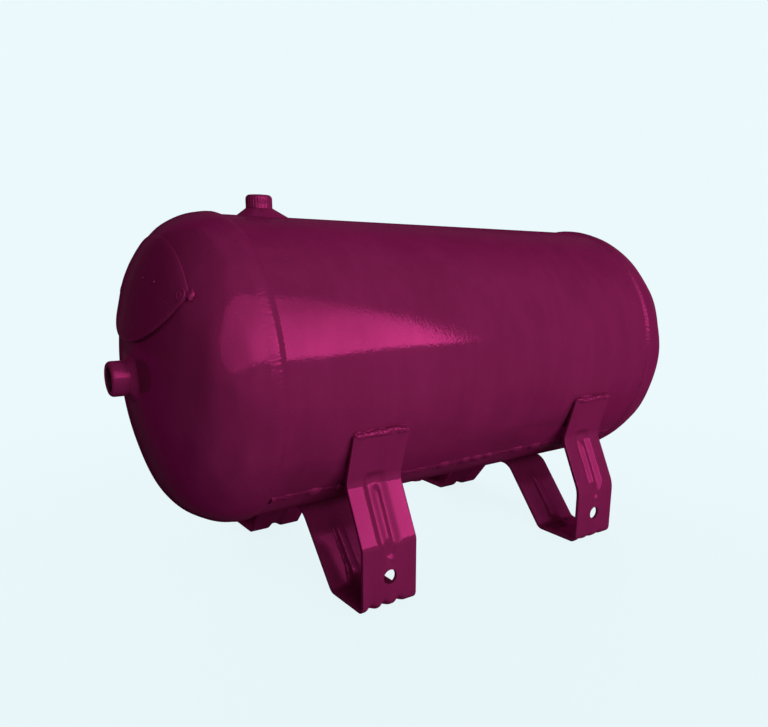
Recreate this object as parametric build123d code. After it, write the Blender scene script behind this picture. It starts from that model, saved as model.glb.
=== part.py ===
from build123d import *
import math
import os

# Horizontal air receiver tank on two pressed foot straps.
# Millimetres, +Z up. The origin is on the floor below the middle of the tank,
# X runs along the tank axis and the front of the tank faces -Y.

# Shell
shell_radius = 120.0            # outside of the rolled shell
shell_wall = 1.5
exposed_length = 402.0          # shell between the two head rims
ground_clearance = 58.0         # from the floor to the shell

# Dished heads that slip over the shell ends
head_wall = 1.4
head_skirt = 1.0                # straight rim of the head
head_knuckle_radius = 51.0      # outside radius of the rounded shoulder
head_crown_radius = 250.0       # outside radius of the flat middle
head_slip_gap = 0.1             # radial clearance between shell and rim
shell_lap = 3.5                 # length of shell inside the rim
head_weld_leg = 4.5             # along the shell
head_weld_bulge = 0.4
head_weld_gap = 0.15            # between the ring weld and the shell

# Lengthwise seam of the rolled shell
seam_angle = 46.0               # below the horizontal, on the front
seam_bead_radius = 8.0
seam_bead_height = 0.8

# Threaded sockets
top_socket_rim_gap = 43.0       # from the rim of the left head to the socket's middle
top_socket_radius = 10.4
top_socket_bore_radius = 7.5
top_socket_height = 16.0        # above the shell
end_socket_radius = 13.2
end_socket_bore_radius = 9.3
end_socket_length = 16.0        # beyond the head
drain_socket_radius = 9.0
drain_socket_bore_radius = 5.7
drain_socket_height = 8.0       # below the shell
socket_edge = 1.2               # bevel at the free end of each socket
thread_relief_step = 0.8        # the bore widens by this much at the tank wall
thread_relief_length = 1.0
wall_hole_inset = 1.0           # holes in the tank wall are this much smaller than the bore
top_weld_leg = 11.0             # weld of the top socket, along the wall
top_weld_height = 6.6           # and up the socket
socket_weld_leg = 7.5           # welds of the end sockets, along the wall
socket_weld_height = 4.0        # and up the socket
drain_weld_leg = 4.0
drain_weld_height = 3.5

# Foot straps, each one strip folded into a W
left_strap_rim_gap = 82.0       # from the rim of the left head to the strap's middle
right_strap_rim_gap = 75.5
strap_width = 50.0
strap_thickness = 3.0
tab_angle = 16.5                # below the horizontal, where the tab lies on the shell
tab_drop = 5.4                  # from that line down to the top edge of the tab
tab_length = 40.4               # from the top edge to the neck
knee_height = 53.0              # above the floor
foot_overhang = 7.5             # the upright face of the foot stands out beyond the shell
foot_length = 49.0              # from the toe corner to the heel corner
saddle_angle = 13.7             # each way from the bottom line of the tank to the inner legs
neck_bend_radius = 12.0         # bends are measured on the outer face of the strip
knee_bend_radius = 9.0
toe_bend_radius = 7.0
heel_bend_radius = 10.0
saddle_bend_radius = 18.0
foot_hole_radius = 6.0
foot_hole_height = 26.0         # above the floor

# Stiffening grooves pressed into the straps
groove_width = 6.5
groove_depth = 2.0
groove_taper = 35.0
groove_rise = 1.0               # the press tools start this far outside the strip
groove_pitch = 9.5              # between the two grooves of the front face
groove_hole_gap = 5.0           # clear plate between the grooves and the hole
leg_bead_width = 10.0
leg_bead_gap = 3.0              # clear strip between the leg bead and the bends
toe_dart_radius = 2.4           # small darts across the toe bend
toe_dart_depth = 1.6
toe_dart_shares = (-0.32, -0.08, 0.19)
heel_dart_radius = 6.0          # one dart across the heel bend
heel_dart_depth = 2.0
dart_length = 26.0

# Welds of the straps
tab_weld_radius = 3.4
tab_weld_end_share = 0.6        # rounding of the bead's ends
tab_weld_overhang = 1.0         # beyond the strip at each end
saddle_weld_leg = 3.0
saddle_weld_angle = 9.0         # each way from the bottom line of the tank

# Plate on the left head
plate_gap = 0.2                 # between head and plate
plate_thickness = 2.0
plate_side_gap = 43.3           # from the head's outside to the corner before it is rounded
plate_top_gap = 18.3            # from the head's outside to the top edge
plate_socket_gap = 5.9          # from the weld of the end socket to the bottom edge
plate_corner_share = 0.462      # height of the corners between the bottom and the top edge
plate_corner_radius = 5.5
eyelet_radius = 4.5
eyelet_inner_radius = 2.4
eyelet_height = 0.6
plate_weld_radius = 3.2

overrun = 5.0                   # cuts run past the faces by this much

# Sizes that follow
axis_height = shell_radius + ground_clearance
foot_reach = shell_radius + foot_overhang
rim_x = exposed_length / 2
shell_length = exposed_length + 2 * shell_lap
top_socket_x = top_socket_rim_gap - rim_x
left_strap_x = left_strap_rim_gap - rim_x
right_strap_x = rim_x - right_strap_rim_gap
head_radius = shell_radius + head_slip_gap + head_wall
knuckle_x = rim_x + head_skirt
knuckle_r = head_radius - head_knuckle_radius
crown_reach = head_crown_radius - head_knuckle_radius
crown_angle = math.degrees(math.asin(knuckle_r / crown_reach))
crown_x = knuckle_x - crown_reach * math.cos(math.radians(crown_angle))
apex_x = crown_x + head_crown_radius
plate_half_width = head_radius - plate_side_gap
plate_top = head_radius - plate_top_gap
plate_bottom = end_socket_radius + socket_weld_leg + plate_socket_gap
plate_corner_height = plate_bottom + plate_corner_share * (plate_top - plate_bottom)


# Dome of the right head, as a face between two distances outside the head's surface
def dome_face(inner, outer):
    with BuildSketch() as sketch:
        with BuildLine():
            low = head_radius + inner
            high = head_radius + outer
            sweep_angle = 90 - crown_angle
            Line((rim_x, low), (rim_x, high))
            Line((rim_x, high), (knuckle_x, high))
            CenterArc((knuckle_x, knuckle_r), head_knuckle_radius + outer, 90, -sweep_angle)
            CenterArc((crown_x, 0), head_crown_radius + outer, crown_angle, -crown_angle)
            Line((apex_x + outer, 0), (apex_x + inner, 0))
            CenterArc((crown_x, 0), head_crown_radius + inner, 0, crown_angle)
            CenterArc((knuckle_x, knuckle_r), head_knuckle_radius + inner, crown_angle, sweep_angle)
            Line((knuckle_x, low), (rim_x, low))
        make_face()
    return sketch.sketch


# A face in the XY plane, turned about X and lifted to the tank axis
def turned(face):
    return Pos(0, 0, axis_height) * revolve(face, Axis.X)


def to_left(shape):
    return mirror(shape, about=Plane.YZ)


# Distance along X of the head's outer surface at a radius from the axis
def dome_x(radius):
    if radius < head_crown_radius * math.sin(math.radians(crown_angle)):
        return crown_x + math.sqrt(head_crown_radius**2 - radius**2)
    return knuckle_x + math.sqrt(head_knuckle_radius**2 - (radius - knuckle_r)**2)


def tank_cylinder(radius, length):
    return Pos(0, 0, axis_height) * Rot(0, 90, 0) * Cylinder(radius, length)


def make_shell():
    shell = tank_cylinder(shell_radius, shell_length)
    shell -= tank_cylinder(shell_radius - shell_wall, shell_length + overrun)
    hole_depth = shell_wall + 2 * overrun
    top = Pos(top_socket_x, 0, axis_height + shell_radius)
    shell -= top * Cylinder(top_socket_bore_radius - wall_hole_inset, hole_depth)
    bottom = Pos(0, 0, axis_height - shell_radius)
    shell -= bottom * Cylinder(drain_socket_bore_radius - wall_hole_inset, hole_depth)
    return shell


def make_head():
    head = turned(dome_face(-head_wall, 0))
    hole = Cylinder(end_socket_bore_radius - wall_hole_inset, head_wall + 2 * overrun)
    return head - Pos(apex_x, 0, axis_height) * Rot(0, 90, 0) * hole


def make_head_weld():
    seat = shell_radius + head_weld_gap
    toe = (rim_x - head_weld_leg, seat)
    top = (rim_x, head_radius - head_slip_gap)
    middle = ((toe[0] + top[0]) / 2 - head_weld_bulge, (toe[1] + top[1]) / 2 + head_weld_bulge)
    with BuildSketch() as sketch:
        with BuildLine():
            Polyline(toe, middle, top, (rim_x, seat), close=True)
        make_face()
    return turned(sketch.sketch)


def make_seam_weld():
    length = exposed_length - 2 * head_weld_leg
    reach = shell_radius + seam_bead_height - seam_bead_radius
    angle = math.radians(seam_angle)
    place = Pos(0, -reach * math.cos(angle), axis_height - reach * math.sin(angle))
    bead = place * Rot(0, 90, 0) * Cylinder(seam_bead_radius, length)
    return bead - tank_cylinder(shell_radius, shell_length)


# A socket that stands up along Z from the height zero, sunk below it by a given amount
def socket_tube(radius, bore_radius, height, sunk):
    tube = Pos(0, 0, (height - sunk) / 2) * Cylinder(radius, height + sunk)
    tube = chamfer(tube.edges().group_by(Axis.Z)[-1], socket_edge)
    tube -= Cylinder(bore_radius + thread_relief_step, 2 * thread_relief_length)
    return tube - Cylinder(bore_radius, 2 * (height + sunk + overrun))


# The weld that runs round a socket, as a cone that goes on below the height zero
def socket_collar(radius, leg, height, sunk):
    foot = radius + leg * (height + sunk) / height
    cone = Pos(0, 0, (height - sunk) / 2) * Cone(foot, radius, height + sunk)
    return cone - Cylinder(radius, 2 * (height + sunk + overrun))


def make_top_socket():
    place = Pos(top_socket_x, 0, axis_height + shell_radius)
    sunk = shell_wall
    tube = socket_tube(top_socket_radius, top_socket_bore_radius, top_socket_height, sunk)
    collar = socket_collar(top_socket_radius, top_weld_leg, top_weld_height, sunk)
    body = tank_cylinder(shell_radius, shell_length)
    return place * tube - body, place * collar - body


def make_drain_socket():
    place = Pos(0, 0, axis_height - shell_radius) * Rot(180, 0, 0)
    sunk = shell_wall
    tube = socket_tube(drain_socket_radius, drain_socket_bore_radius, drain_socket_height, sunk)
    collar = socket_collar(drain_socket_radius, drain_weld_leg, drain_weld_height, sunk)
    body = tank_cylinder(shell_radius, shell_length)
    return place * tube - body, place * collar - body


def make_end_socket():
    place = Pos(apex_x, 0, axis_height) * Rot(0, 90, 0)
    sunk = head_wall
    tube = socket_tube(end_socket_radius, end_socket_bore_radius, end_socket_length, sunk)
    collar = socket_collar(end_socket_radius, socket_weld_leg, socket_weld_height, sunk)
    body = Pos(crown_x, 0, axis_height) * Sphere(head_crown_radius)
    return place * tube - body, place * collar - body


# Straight stretches of the strip's outer face, front half, as points and directions in Y and Z
tab_turn = math.radians(tab_angle)
saddle_turn = math.radians(saddle_angle)
strap_radius = shell_radius + strap_thickness
tank_centre = Vector(0, axis_height)
tab_way = Vector(math.sin(tab_turn), -math.cos(tab_turn))
tab_out = Vector(-math.cos(tab_turn), -math.sin(tab_turn))
tab_top = tank_centre + tab_out * strap_radius + tab_way * tab_drop
neck = tab_top + tab_way * tab_length
knee = Vector(-foot_reach, knee_height)
toe = Vector(-foot_reach, 0)
heel = toe + Vector(foot_length, 0)
saddle_end = tank_centre + Vector(-math.sin(saddle_turn), -math.cos(saddle_turn)) * strap_radius
slope_way = (knee - neck).normalized()
leg_way = (saddle_end - heel).normalized()
upright_way = Vector(0, -1)
foot_way = Vector(1, 0)


# A line's point moved towards the inner face of the strip
def moved_in(point, way, inset):
    return point + Vector(-way.Y, way.X) * inset


# Where two lines cross
def crossing(point, way, other, other_way):
    gap = other - point
    run = (gap.X * other_way.Y - gap.Y * other_way.X) / (way.X * other_way.Y - way.Y * other_way.X)
    return point + way * run


# Corners of the strip's line at a distance inside its outer face, and the end of the saddle arc
def strip_corners(inset):
    points = (tab_top, neck, knee, toe, heel)
    lines = list(zip(points, (tab_way, slope_way, upright_way, foot_way, leg_way)))
    shifted = [(moved_in(point, way, inset), way) for point, way in lines]
    corners = [shifted[0][0]]
    for (point, way), (other, other_way) in zip(shifted, shifted[1:]):
        corners.append(crossing(point, way, other, other_way))
    radius = strap_radius - inset
    point, way = shifted[-1]
    gap = point - tank_centre
    half = gap.dot(way)
    run = -half - math.sqrt(half**2 - gap.dot(gap) + radius**2)
    corners.append(point + way * run)
    return corners


# Bends on the outer face; a bend that opens outwards grows with the inset and the others shrink
def strip_radii(inset):
    opening = neck_bend_radius + inset
    closing = [knee_bend_radius - inset, toe_bend_radius - inset, heel_bend_radius - inset]
    return [opening] + closing


def strip_side(inset, side):
    corners = [(side * corner.X, corner.Y) for corner in strip_corners(inset)]
    return FilletPolyline(*corners, radius=strip_radii(inset))


def strip_face():
    with BuildSketch(Plane.YZ) as sketch:
        with BuildLine():
            for inset in (0, strap_thickness):
                end = strip_corners(inset)[-1]
                low = axis_height - strap_radius + inset
                strip_side(inset, 1)
                strip_side(inset, -1)
                ThreePointArc((end.X, end.Y), (0, low), (-end.X, end.Y))
            outer = strip_corners(0)[0]
            inner = strip_corners(strap_thickness)[0]
            for side in (1, -1):
                Line((side * outer.X, outer.Y), (side * inner.X, inner.Y))
        make_face()
        for inset in (0, strap_thickness):
            end = strip_corners(inset)[-1]
            spots = [Vector(0, end.X, end.Y), Vector(0, -end.X, end.Y)]
            ends = [v for v in sketch.vertices() if near(v, spots)]
            fillet(ends, saddle_bend_radius + inset)
    return sketch.sketch


def near(vertex, spots):
    place = Vector(vertex.X, vertex.Y, vertex.Z)
    return min((place - spot).length for spot in spots) < strap_thickness / 4


# A plane along the strip at a distance inside its outer face: X across the strip, Z outwards
def strip_plane(point, way, inset, side):
    spot = moved_in(point, way, inset)
    return Plane(
        origin=(0, side * spot.X, spot.Y),
        x_dir=(1, 0, 0),
        z_dir=(0, side * way.Y, -way.X),
    )


def slot_on(plane, length, width, across):
    return plane * Pos(across, 0) * Rot(0, 0, 90) * SlotOverall(length, width)


# One groove pressed in from the outer face, with the hump that it raises inside
def press(strap, start, end, width, across, side):
    way = (end - start).normalized()
    length = (end - start).length
    middle = (start + end) * 0.5
    depth = groove_depth + groove_rise
    spread = 2 * groove_rise * math.tan(math.radians(groove_taper))
    inner = strip_plane(middle, way, strap_thickness - groove_rise, side)
    hump = slot_on(inner, length + groove_depth + spread, width + groove_depth + spread, across)
    strap += extrude(hump, -depth, taper=groove_taper)
    outer = strip_plane(middle, way, -groove_rise, side)
    groove = slot_on(outer, length + spread, width + spread, across)
    return strap - extrude(groove, -depth, taper=groove_taper)


# A bar laid across the outside of a bend, to cut one dart into it
def make_dart(corner, way, other_way, bend_radius, radius, depth, across, side):
    inward = (way + other_way).normalized()
    rounding = bend_radius / math.sqrt(1 - way.dot(inward) ** 2) - bend_radius
    spot = corner + inward * (rounding + depth - radius)
    plane = Plane(
        origin=(across, side * spot.X, spot.Y),
        x_dir=(1, 0, 0),
        z_dir=(0, side * inward.Y, -inward.X),
    )
    return plane * Cylinder(radius, dart_length)


def make_strap():
    strap = extrude(strip_face(), strap_width / 2, both=True)
    groove_end = Vector(-foot_reach, foot_hole_height + foot_hole_radius + groove_hole_gap)
    for side in (1, -1):
        for across in (-groove_pitch / 2, groove_pitch / 2):
            slope_end = knee + slope_way * groove_depth
            strap = press(strap, neck, slope_end, groove_width, across, side)
            upright_start = knee - upright_way * groove_depth
            strap = press(strap, upright_start, groove_end, groove_width, across, side)
        bead_start = heel + leg_way * (heel_bend_radius + leg_bead_gap)
        bead_end = saddle_end - leg_way * (saddle_bend_radius + leg_bead_gap)
        strap = press(strap, bead_start, bead_end, leg_bead_width, 0, side)
        for share in toe_dart_shares:
            across = share * strap_width
            strap -= make_dart(
                toe, -upright_way, foot_way, toe_bend_radius, toe_dart_radius, toe_dart_depth, across, side
            )
        strap -= make_dart(
            heel, -foot_way, leg_way, heel_bend_radius, heel_dart_radius, heel_dart_depth, 0, side
        )
        hole = Rot(90, 0, 0) * Cylinder(foot_hole_radius, strap_thickness + 2 * overrun)
        strap -= Pos(0, side * foot_reach, foot_hole_height) * hole
    return strap


def make_tab_weld(strap, side):
    inner = strip_corners(strap_thickness)[0]
    length = strap_width + 2 * tab_weld_overhang
    bead = Pos(0, side * inner.X, inner.Y) * Rot(0, 90, 0) * Cylinder(tab_weld_radius, length)
    bead = fillet(bead.edges().filter_by(GeomType.CIRCLE), tab_weld_radius * tab_weld_end_share)
    return bead - tank_cylinder(shell_radius, shell_length) - strap


# The two beads at the strip's edges under the tank run round the shell
def make_saddle_weld(side):
    edge = side * strap_width / 2
    corners = [
        (edge, shell_radius),
        (edge + side * saddle_weld_leg, shell_radius),
        (edge, shell_radius + saddle_weld_leg),
    ]
    with BuildSketch() as sketch:
        with BuildLine():
            Polyline(*corners, close=True)
        make_face()
    bead = revolve(sketch.sketch, Axis.X, 2 * saddle_weld_angle)
    start = -90 - saddle_weld_angle
    return Pos(0, 0, axis_height) * Rot(start, 0, 0) * bead


def plate_prism(face, depth):
    plane = Plane(origin=(knuckle_x, 0, axis_height), x_dir=(0, 1, 0), z_dir=(1, 0, 0))
    return extrude(plane * face, depth)


# Centre of the rounding at the plate's corner, between the arcs of its top and bottom edges
top_rise = plate_top - plate_corner_height
bottom_dip = plate_corner_height - plate_bottom
top_arc_radius = (plate_half_width**2 + top_rise**2) / (2 * top_rise)
bottom_arc_radius = (plate_half_width**2 + bottom_dip**2) / (2 * bottom_dip)
top_arc_height = plate_top - top_arc_radius
bottom_arc_height = plate_bottom + bottom_arc_radius
top_reach = top_arc_radius - plate_corner_radius
bottom_reach = bottom_arc_radius - plate_corner_radius
arc_gap = bottom_arc_height - top_arc_height
eyelet_rise = (top_reach**2 - bottom_reach**2 + arc_gap**2) / (2 * arc_gap)
eyelet_height_on_head = top_arc_height + eyelet_rise
eyelet_place = math.sqrt(top_reach**2 - eyelet_rise**2)


def make_plate():
    left = (-plate_half_width, plate_corner_height)
    right = (plate_half_width, plate_corner_height)
    with BuildSketch() as outline:
        with BuildLine():
            ThreePointArc(left, (0, plate_top), right)
            ThreePointArc(right, (0, plate_bottom), left)
        make_face()
        fillet(outline.vertices(), plate_corner_radius)
    depth = apex_x - knuckle_x + overrun
    outer = plate_gap + plate_thickness
    plate = turned(dome_face(plate_gap, outer)) & plate_prism(outline.sketch, depth)
    ring = Circle(eyelet_radius) - Circle(eyelet_inner_radius)
    raised = turned(dome_face(outer, outer + eyelet_height))
    for side in (1, -1):
        plate += raised & plate_prism(Pos(side * eyelet_place, eyelet_height_on_head) * ring, depth)
    return plate


def make_plate_weld(plate, side):
    across = eyelet_place + plate_corner_radius
    radius = math.hypot(across, eyelet_height_on_head)
    place = Pos(dome_x(radius), side * across, axis_height + eyelet_height_on_head)
    bead = place * Sphere(plate_weld_radius)
    bead -= turned(dome_face(-head_wall - plate_weld_radius, 0))
    return bead - plate


os.makedirs("parts", exist_ok=True)


def save(shape, name):
    export_step(shape, "parts/" + name + ".step")


save(make_shell(), "shell")
save(make_seam_weld(), "shell_seam_weld")

right_head = make_head()
right_weld = make_head_weld()
end_socket, end_collar = make_end_socket()
for name, shape in (
    ("head", right_head),
    ("head_weld", right_weld),
    ("end_socket", end_socket),
    ("end_socket_weld", end_collar),
):
    save(shape, "right_" + name)
    save(to_left(shape), "left_" + name)

top_socket, top_collar = make_top_socket()
save(top_socket, "top_socket")
save(top_collar, "top_socket_weld")
drain_socket, drain_collar = make_drain_socket()
save(drain_socket, "drain_socket")
save(drain_collar, "drain_socket_weld")

strap = make_strap()
for hand, place in (("left", Pos(left_strap_x, 0, 0)), ("right", Pos(right_strap_x, 0, 0))):
    save(place * strap, hand + "_foot_strap")
    save(place * make_tab_weld(strap, 1), hand + "_front_tab_weld")
    save(place * make_tab_weld(strap, -1), hand + "_back_tab_weld")
    save(place * make_saddle_weld(1), hand + "_saddle_right_weld")
    save(place * make_saddle_weld(-1), hand + "_saddle_left_weld")

plate = make_plate()
save(to_left(plate), "head_plate")
save(to_left(make_plate_weld(plate, -1)), "head_plate_front_weld")
save(to_left(make_plate_weld(plate, 1)), "head_plate_back_weld")
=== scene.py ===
import math

import bmesh
import bpy
from mathutils import Matrix, Vector, noise


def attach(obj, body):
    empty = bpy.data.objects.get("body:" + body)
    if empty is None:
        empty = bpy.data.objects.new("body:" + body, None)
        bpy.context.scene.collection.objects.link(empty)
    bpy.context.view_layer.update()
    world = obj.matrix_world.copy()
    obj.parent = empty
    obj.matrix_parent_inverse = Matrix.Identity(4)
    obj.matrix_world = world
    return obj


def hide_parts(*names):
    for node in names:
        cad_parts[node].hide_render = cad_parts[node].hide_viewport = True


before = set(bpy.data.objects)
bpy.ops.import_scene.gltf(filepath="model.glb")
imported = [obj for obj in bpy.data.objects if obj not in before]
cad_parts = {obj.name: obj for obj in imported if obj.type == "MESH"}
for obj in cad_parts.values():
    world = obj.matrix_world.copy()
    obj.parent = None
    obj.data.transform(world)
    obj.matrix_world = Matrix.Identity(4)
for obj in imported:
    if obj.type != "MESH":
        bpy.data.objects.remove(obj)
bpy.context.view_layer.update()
scene = bpy.context.scene
print("frame loaded,", len(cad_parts), "CAD nodes")

# sizes of the tank that several pieces share, in metres
tank = dict(shellR=0.120, axisZ=0.178, rimX=0.201, headR=0.1215, skirt=0.001, knuckleR=0.051, crownR=0.250,
            topSocketX=-0.158)
knuckleX = tank["rimX"] + tank["skirt"]
knuckleSeat = tank["headR"] - tank["knuckleR"]
crownTurn = math.asin(knuckleSeat / (tank["crownR"] - tank["knuckleR"]))
crownX = knuckleX - (tank["crownR"] - tank["knuckleR"]) * math.cos(crownTurn)
crownEdge = tank["crownR"] * math.sin(crownTurn)  # radius where the crown meets the knuckle
apexX = crownX + tank["crownR"]
axisPoint = Vector((0, 0, tank["axisZ"]))
shellTop = tank["axisZ"] + tank["shellR"]
shellBottom = tank["axisZ"] - tank["shellR"]
handSign = {"left": -1, "right": 1}
faceSign = {"front": -1, "back": 1}
mergeGap = 1e-6
edgeBevel = 0.0005


# shader helpers

class Wire:  # a socket that can be used in Python expressions
    def __init__(self, finish, socket):
        self.finish = finish
        self.socket = socket

    def math(self, operation, a, b):
        return self.finish.node("ShaderNodeMath", {"operation": operation}, {0: a, 1: b})

    def __add__(self, other):
        return self.math("ADD", self, other)

    __radd__ = __add__

    def __sub__(self, other):
        return self.math("SUBTRACT", self, other)

    def __rsub__(self, other):
        return self.math("SUBTRACT", other, self)

    def __mul__(self, other):
        return self.math("MULTIPLY", self, other)

    __rmul__ = __mul__

    def __truediv__(self, other):
        return self.math("DIVIDE", self, other)

    def __rtruediv__(self, other):
        return self.math("DIVIDE", other, self)

    def atLeast(self, other):
        return self.math("MAXIMUM", self, other)


class Finish:  # one node tree with a method that adds any node
    def __init__(self, owner):
        owner.use_nodes = True
        self.owner = owner
        self.tree = owner.node_tree
        self.tree.nodes.clear()

    def node(self, kind, settings=None, sockets=None, output=0):
        made = self.tree.nodes.new(kind)
        for name, value in (settings or {}).items():
            if name == "stops":
                elements = made.color_ramp.elements
                for place, colour in value[1:-1]:
                    elements.new(place)
                for element, (place, colour) in zip(elements, value):
                    element.position = place
                    element.color = (*colour, 1)
            else:
                setattr(made, name, value)
        for name, value in (sockets or {}).items():
            if isinstance(value, Wire):
                self.tree.links.new(value.socket, made.inputs[name])
            else:
                made.inputs[name].default_value = value
        return Wire(self, made.outputs[output])

    def place(self):
        return self.node("ShaderNodeTexCoord", output="Object")

    def stretched(self, where, scale):
        return self.node("ShaderNodeMapping", None, {"Vector": where, "Scale": scale})

    def grain(self, where, scale, detail, roughness):
        sockets = {"Vector": where, "Scale": scale, "Detail": detail, "Roughness": roughness}
        return self.node("ShaderNodeTexNoise", None, sockets)

    def step(self, value, low, high):
        settings = {"interpolation_type": "SMOOTHSTEP", "clamp": True}
        return self.node("ShaderNodeMapRange", settings, {"Value": value, "From Min": low, "From Max": high})

    def blend(self, share, a, b, kind="MIX"):
        settings = {"data_type": "RGBA", "blend_type": kind}
        return self.node("ShaderNodeMix", settings, {0: share, 6: a, 7: b}, output=2)

    def close(self, shader, kind="ShaderNodeOutputMaterial"):
        self.tree.links.new(shader.socket, self.tree.nodes.new(kind).inputs["Surface"])


# paint

# a noise is given as scale, detail and roughness
paintLook = dict(
    base=(0.172, 0.0108, 0.0625), deep=(0.128, 0.0074, 0.0450), light=(0.212, 0.0140, 0.0770), baseShare=0.62,
    cloudNoise=(14.0, 3.0, 0.6), cloudShare=0.6, cloudRough=0.05, mottle=(0.3, 0.72),
    streakNoise=(75.0, 2.0, 0.6), streakShare=0.4, streakStretch=(1, 1, 0.12),
    grit=(0.32, 0.06, 0.16), gritNoise=(900.0, 1.0, 0.5), gritFrom=(0.72, 0.8), gritShare=0.35,
    gritRough=0.12,
    metal=0.22, fade=(0.56, 0.9), tint=(0.6, 0.42, 0.48), rough=0.065,
    peelNoise=(420.0, 2.0, 0.55), peelDepth=0.00006,
    waveNoise=(26.0, 1.0, 0.4), waveDepth=0.00012, waveStretch=(0.35, 1, 1),
)


def makePaint(name, wave=1.0, peel=1.0, rough=0.0, shine=1.0):
    look = paintLook
    finish = Finish(bpy.data.materials.new(name))
    where = finish.place()
    peelField = finish.grain(where, *look["peelNoise"])
    waveField = finish.grain(finish.stretched(where, look["waveStretch"]), *look["waveNoise"])
    cloud = finish.grain(where, *look["cloudNoise"])
    speck = finish.grain(where, *look["gritNoise"])
    streak = finish.grain(finish.stretched(where, look["streakStretch"]), *look["streakNoise"])
    mottle = finish.step(cloud * look["cloudShare"] + streak * look["streakShare"], *look["mottle"])
    colour = finish.blend(mottle, (*look["deep"], 1), (*look["light"], 1))
    colour = finish.blend(look["baseShare"], colour, (*look["base"], 1))
    grit = finish.step(speck, *look["gritFrom"])
    colour = finish.blend(grit * look["gritShare"], colour, (*look["grit"], 1))
    roughness = look["rough"] + rough + cloud * look["cloudRough"] + grit * look["gritRough"]
    height = peelField * (look["peelDepth"] * peel) + waveField * (look["waveDepth"] * wave)
    normal = finish.node("ShaderNodeBump", None, {"Strength": 1.0, "Distance": 1.0, "Height": height})
    facing = finish.node("ShaderNodeLayerWeight", None, {"Blend": 0.5}, output="Facing")
    gloss = look["metal"] * shine * (1 - finish.step(facing, *look["fade"]))  # fades at the outline
    finish.close(finish.node("ShaderNodeBsdfPrincipled", None, {
        "Base Color": colour, "Roughness": roughness, "Metallic": gloss, "Normal": normal,
        "Specular IOR Level": 0.0, "Specular Tint": (*look["tint"], 1),
    }))
    return finish.owner


tankPaint = makePaint("tankPaint")
headPaint = makePaint("headPaint", wave=1.6)
strapPaint = makePaint("strapPaint", wave=0.8, peel=1.2, shine=0.86)
platePaint = makePaint("platePaint", wave=0.7)
socketPaint = makePaint("socketPaint", wave=0.4, rough=0.04)
weldPaint = makePaint("weldPaint", wave=0.3, peel=1.6, rough=0.09)

# the bore's colours are near-black with the paint's wine tint: dark bare metal, darkened further as painted
# shade inside the bore
shadedBoreLook = dict(dark=(0.022, 0.003, 0.010), light=(0.055, 0.009, 0.022), mottle=(0.35, 0.7), metal=0.2,
                rough=0.5, cloudNoise=(60.0, 3.0, 0.6), cloudRough=0.2,
                gritNoise=(700.0, 2.0, 0.5), gritDepth=0.0002, gritShare=0.4)


def makeShadedSteel(name):
    look = shadedBoreLook
    finish = Finish(bpy.data.materials.new(name))
    where = finish.place()
    cloud = finish.grain(where, *look["cloudNoise"])
    colour = finish.blend(finish.step(cloud, *look["mottle"]), (*look["dark"], 1), (*look["light"], 1))
    normal = finish.node("ShaderNodeBump", None, {
        "Strength": look["gritShare"], "Distance": look["gritDepth"],
        "Height": finish.grain(where, *look["gritNoise"])})
    finish.close(finish.node("ShaderNodeBsdfPrincipled", None, {
        "Base Color": colour, "Roughness": look["rough"] + cloud * look["cloudRough"],
        "Metallic": look["metal"], "Normal": normal, "Specular IOR Level": 0.0}))
    return finish.owner


shadedBoreSteel = makeShadedSteel("shadedBoreSteel")
print("materials made")


# mesh helpers

def addPiece(name, bm, paints, standsFor=()):
    bmesh.ops.remove_doubles(bm, verts=bm.verts, dist=mergeGap)
    bmesh.ops.recalc_face_normals(bm, faces=bm.faces)
    for face in bm.faces:
        face.smooth = True
    mesh = bpy.data.meshes.new(name)
    bm.to_mesh(mesh)
    bm.free()
    piece = bpy.data.objects.new(name, mesh)
    scene.collection.objects.link(piece)
    for paint in paints:
        mesh.materials.append(paint)
    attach(piece, "root")
    if standsFor:
        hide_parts(*standsFor)
    return piece


def addModifier(piece, kind, **settings):
    made = piece.modifiers.new(kind.title(), kind)
    for name, value in settings.items():
        setattr(made, name, value)


def thicken(piece, thickness):  # the drawn face stays the outer one
    addModifier(piece, "SOLIDIFY", thickness=thickness, offset=-1.0)


def softenEdges(piece, sharpTurn):  # bevels the edges that turn by more degrees than this
    addModifier(piece, "BEVEL", width=edgeBevel, segments=2, limit_method="ANGLE",
                angle_limit=math.radians(sharpTurn))


def startGrid(cuts):  # a unit square that a piece is formed from
    bm = bmesh.new()
    bmesh.ops.create_grid(bm, x_segments=cuts[0], y_segments=cuts[1], size=0.5)
    return bm


def polyline(bm, points):  # a chain of edges through a few points
    verts = [bm.verts.new(point) for point in points]
    for pair in zip(verts, verts[1:]):
        bm.edges.new(pair)
    return verts


def sweepVert(bm, vert, centre, axis, angle, steps):  # draws an arc from one point
    made = bmesh.ops.spin(bm, geom=[vert], cent=centre, axis=axis, angle=angle, steps=steps)
    return made["geom_last"][0]


def turnRound(bm, centre, axis, steps):
    geom = list(bm.verts) + list(bm.edges)
    bmesh.ops.spin(bm, geom=geom, cent=centre, axis=axis, angle=2 * math.pi, steps=steps, use_merge=True)
    bmesh.ops.remove_doubles(bm, verts=bm.verts, dist=mergeGap / 10)


def smooth(value, low, high):
    share = min(max((value - low) / (high - low), 0.0), 1.0)
    return share * share * (3 - 2 * share)


def between(value, starts, ends):  # rises through the one range and falls through the other
    return smooth(value, *starts) * (1 - smooth(value, *ends))


def uneven(x, y=0.0, z=0.0):  # smooth noise between about -1 and 1
    return noise.noise(Vector((x, y, z)))


def unevenRound(turn, pace, seed):  # noise that meets itself again after a full turn
    return uneven(math.cos(turn) * pace, math.sin(turn) * pace, seed)


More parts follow.
